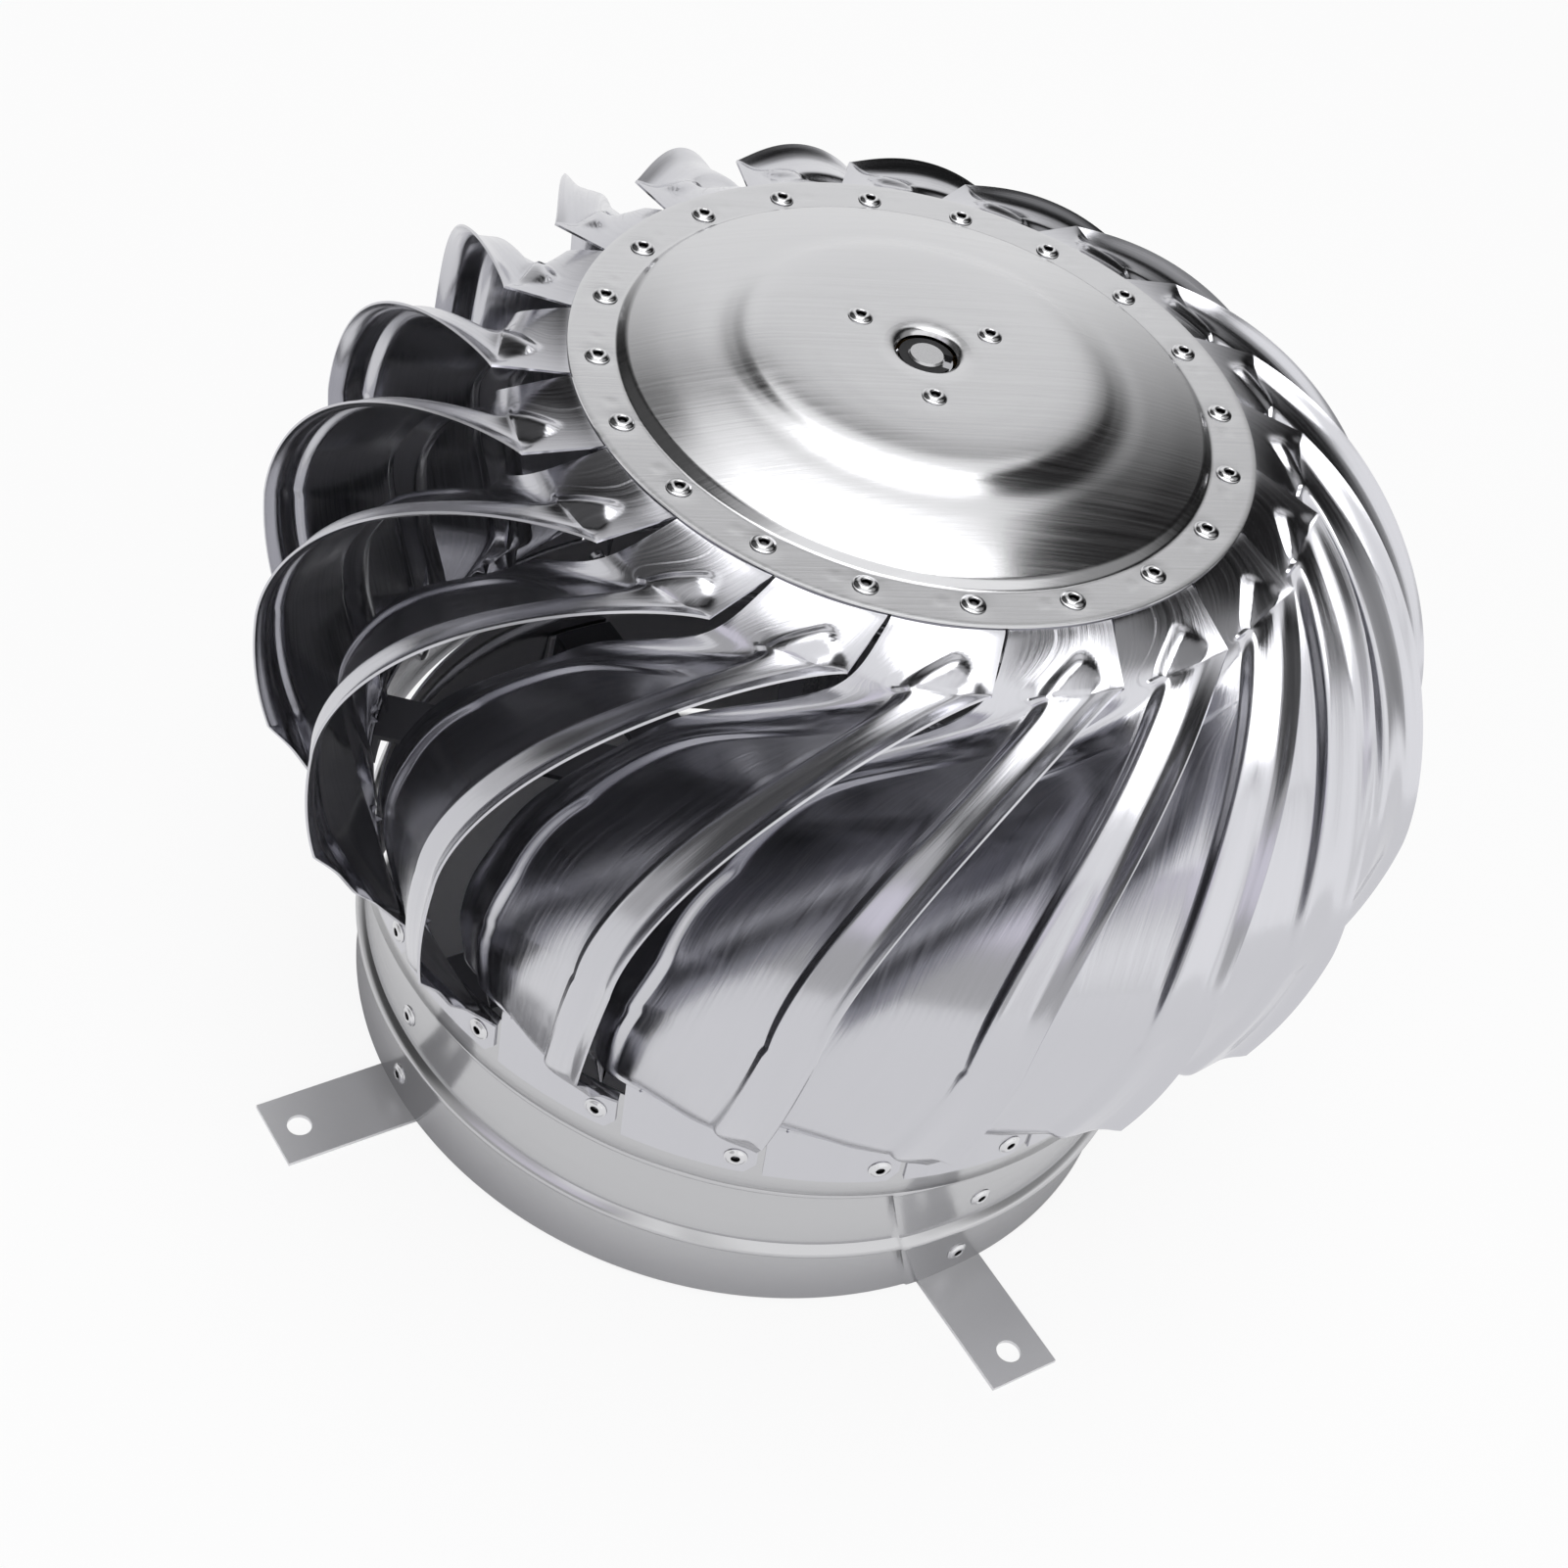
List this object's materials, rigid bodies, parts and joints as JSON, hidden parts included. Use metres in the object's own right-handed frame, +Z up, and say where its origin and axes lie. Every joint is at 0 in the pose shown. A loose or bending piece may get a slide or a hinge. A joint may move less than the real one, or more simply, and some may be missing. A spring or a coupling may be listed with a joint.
{
  "type": "roof turbine ventilator",
  "caption": "Wind-driven roof turbine ventilator: riveted ball of curved steel vanes turning on a fixed shaft above a round neck ring with mounting feet",
  "frame": {"origin": "on the turning axis at the underside of the mounting feet, where the ventilator sits on the roof plate", "axes": "+Z up along the turning axis; the feet lie at 45, 135, 225 and 315 degrees from +X towards +Y"},
  "size_m": [0.3998, 0.3998, 0.3095],
  "materials": {
    "polished_sheet": "polished stainless sheet, mirror-like with fine brushing round the ring",
    "vane_sheet": "bright-rolled stainless sheet, mirror-like with fine brushing along the vane",
    "plain_sheet": "plain rolled stainless strip, satin",
    "shaft_steel": "turned bright steel",
    "bearing_steel": "ground bearing steel",
    "cage_brass": "turned brass",
    "spring_steel": "phosphated spring steel",
    "rivet_steel": "bright stainless pop rivets"
  },
  "bodies": {
    "base": {"neck_ring": "polished_sheet", "mounting_bracket_1": "plain_sheet", "mounting_bracket_2": "plain_sheet", "mounting_bracket_3": "plain_sheet", "mounting_bracket_4": "plain_sheet", "cross_bar_low": "plain_sheet", "cross_bar_high": "plain_sheet", "shaft": "shaft_steel", "shaft_nuts": "shaft_steel", "shaft_washers": "shaft_steel", "lower_spacer": "shaft_steel", "upper_spacer": "shaft_steel", "lower_inner_race": "bearing_steel", "upper_inner_race": "bearing_steel", "shaft_clip": "spring_steel", "bracket_rivets_low": "rivet_steel", "bracket_rivets_high": "rivet_steel"},
    "rotor": {"top_cap": "polished_sheet", "skirt_ring": "polished_sheet", "spider": "plain_sheet", "upper_housing": "plain_sheet", "lower_housing": "plain_sheet", "upper_outer_race": "bearing_steel", "lower_outer_race": "bearing_steel", "upper_housing_clip": "spring_steel", "lower_housing_clip": "spring_steel", "cap_rivets": "rivet_steel", "skirt_rivets": "rivet_steel", "upper_hub_rivets": "rivet_steel", "lower_hub_rivets": "rivet_steel", "vane_01": "vane_sheet", "vane_02": "vane_sheet", "vane_03": "vane_sheet", "vane_04": "vane_sheet", "vane_05": "vane_sheet", "vane_06": "vane_sheet", "vane_07": "vane_sheet", "vane_08": "vane_sheet", "vane_09": "vane_sheet", "vane_10": "vane_sheet", "vane_11": "vane_sheet", "vane_12": "vane_sheet", "vane_13": "vane_sheet", "vane_14": "vane_sheet", "vane_15": "vane_sheet", "vane_16": "vane_sheet", "vane_17": "vane_sheet", "vane_18": "vane_sheet", "vane_19": "vane_sheet", "vane_20": "vane_sheet"},
    "upper_cage": {"upper_cage": "cage_brass", "upper_balls": "bearing_steel"},
    "lower_cage": {"lower_cage": "cage_brass", "lower_balls": "bearing_steel"}
  },
  "joints": [
    {"name": "rotor_spin", "type": "hinge", "parent": "base", "child": "rotor", "pos_m": [0, 0, 0.2], "axis": [0, 0, 1], "continuous": true},
    {"name": "upper_cage_spin", "type": "hinge", "parent": "base", "child": "upper_cage", "pos_m": [0, 0, 0.2994], "axis": [0, 0, 1], "continuous": true},
    {"name": "lower_cage_spin", "type": "hinge", "parent": "base", "child": "lower_cage", "pos_m": [0, 0, 0.088], "axis": [0, 0, 1], "continuous": true}
  ],
  "couplings": [
    {"joint": "upper_cage_spin", "follows": "rotor_spin", "ratio": 0.6341},
    {"joint": "lower_cage_spin", "follows": "rotor_spin", "ratio": 0.6341}
  ]
}
